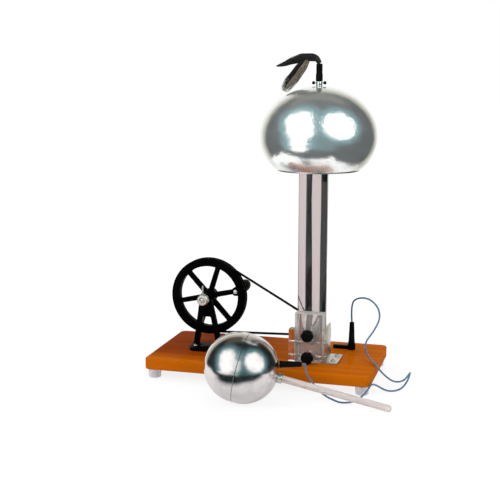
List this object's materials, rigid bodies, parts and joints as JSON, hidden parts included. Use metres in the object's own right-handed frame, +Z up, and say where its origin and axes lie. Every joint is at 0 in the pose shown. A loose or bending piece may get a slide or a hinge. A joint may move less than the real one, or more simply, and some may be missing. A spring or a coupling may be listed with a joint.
{
  "type": "van de graaff generator",
  "caption": "Hand-driven electrostatic generator: cranked wheel, belt column and metal dome on a wooden base, with a discharge ball on a rod joined by a lead.",
  "frame": {"origin": "centre of the standing object's bounding box at the level it stands on, the lead and its plugs left out", "axes": "+Z up, +X along the base board towards the dome's end, +Y from the clamp knobs towards the crank grip"},
  "size_m": [0.4806, 0.3679, 0.5902],
  "materials": {
    "varnished_wood": "glossy varnish",
    "black_rubber": "matte",
    "bright_steel": "satin",
    "black_casting": "black enamel",
    "bright_plate": "polished",
    "brass": "satin",
    "black_plastic": "glossy",
    "white_plastic": "satin",
    "clear_acrylic": "clear polished",
    "aluminium": "satin",
    "polished_shell": "mirror polished",
    "hair": "fine straight hair",
    "lead_pvc": "soft flexible",
    "clear_plastic": "soft clear plastic"
  },
  "bodies": {
    "stand": {"base_board": "varnished_wood", "feet": "clear_plastic", "foot_screws": "bright_steel", "wheel_stand": "black_casting", "stand_screws": "bright_steel", "drive_axle": "bright_steel", "axle_end_nut": "bright_steel", "drive_cord": "black_rubber", "upright": "clear_acrylic", "clamp_block": "clear_acrylic", "side_block": "clear_acrylic", "side_screws": "bright_steel", "angle_bracket": "aluminium", "leg_screws": "bright_steel", "flange_screws": "bright_steel", "charge_belt": "black_rubber", "lower_comb": "bright_steel", "upper_comb": "bright_steel", "carrier_ring": "aluminium", "cleats": "clear_acrylic", "cleat_screws": "bright_steel", "earth_terminal": "black_plastic", "terminal_socket": "brass", "earth_plug": "black_plastic", "earth_pin": "bright_plate", "ball_plug": "black_plastic", "ball_pin": "bright_plate", "earth_lead": "lead_pvc"},
    "clamp": {"clamp_nut": "bright_plate", "tommy_bar": "bright_plate"},
    "wheel": {"drive_wheel": "black_casting", "wheel_bush": "brass", "crank_pin": "bright_steel", "grip_cap": "bright_steel"},
    "grip": {"crank_grip": "black_plastic"},
    "high_clamp": {"upper_knob": "black_plastic", "upper_stud": "bright_steel"},
    "low_clamp": {"lower_knob": "black_plastic", "lower_stud": "bright_steel"},
    "low_shaft": {"lower_axle": "bright_steel", "lower_collar": "bright_steel", "lower_roller": "white_plastic", "cord_pulley": "black_plastic"},
    "high_shaft": {"upper_axle": "bright_steel", "upper_collar": "bright_steel", "upper_roller": "aluminium"},
    "dome": {"dome_shell": "polished_shell", "plume_socket": "bright_plate", "cross_pin": "bright_steel", "pin_balls": "black_plastic", "plume_post": "bright_steel"},
    "plume": {"plume_sleeve": "black_plastic", "plume_hair": "hair"},
    "wand": {"ball_near": "polished_shell", "ball_far": "polished_shell", "ball_ferrule": "bright_plate", "ball_socket": "brass", "wand_rod": "clear_acrylic"}
  },
  "joints": [
    {"name": "wheel_spin", "type": "hinge", "parent": "stand", "child": "wheel", "pos_m": [-0.153, 0.1085, 0.1292], "axis": [0, 1, 0], "continuous": true},
    {"name": "grip_spin", "type": "hinge", "parent": "wheel", "child": "grip", "pos_m": [-0.09784, 0.1085, 0.14143], "axis": [0, 1, 0], "continuous": true},
    {"name": "clamp_turn", "type": "hinge", "parent": "stand", "child": "clamp", "pos_m": [-0.153, 0.0658, 0.1292], "axis": [0, -1, 0], "range_deg": [0, 360]},
    {"name": "low_spin", "type": "hinge", "parent": "stand", "child": "low_shaft", "pos_m": [0.0646, 0.0778, 0.076], "axis": [0, 1, 0], "continuous": true},
    {"name": "high_spin", "type": "hinge", "parent": "stand", "child": "high_shaft", "pos_m": [0.0646, 0.0778, 0.437], "axis": [0, 1, 0], "continuous": true},
    {"name": "upper_knob_turn", "type": "hinge", "parent": "stand", "child": "high_clamp", "pos_m": [0.0646, 0.0078, 0.09], "axis": [0, -1, 0], "range_deg": [0, 360]},
    {"name": "lower_knob_turn", "type": "hinge", "parent": "stand", "child": "low_clamp", "pos_m": [0.0646, 0.0078, 0.049], "axis": [0, -1, 0], "range_deg": [0, 360]},
    {"name": "dome_lift", "type": "slide", "parent": "stand", "child": "dome", "axis": [0, 0, 1], "range_m": [0, 0.15]},
    {"name": "plume_lift", "type": "slide", "parent": "dome", "child": "plume", "axis": [0, 0, 1], "range_m": [0, 0.04]},
    {"name": "wand_pull", "type": "slide", "parent": "stand", "child": "wand", "axis": [-0.9703, -0.2419, 0], "range_m": [0, 0.04]}
  ],
  "couplings": [
    {"joint": "low_spin", "follows": "wheel_spin", "ratio": 6.4909},
    {"joint": "high_spin", "follows": "wheel_spin", "ratio": 6.4909}
  ]
}
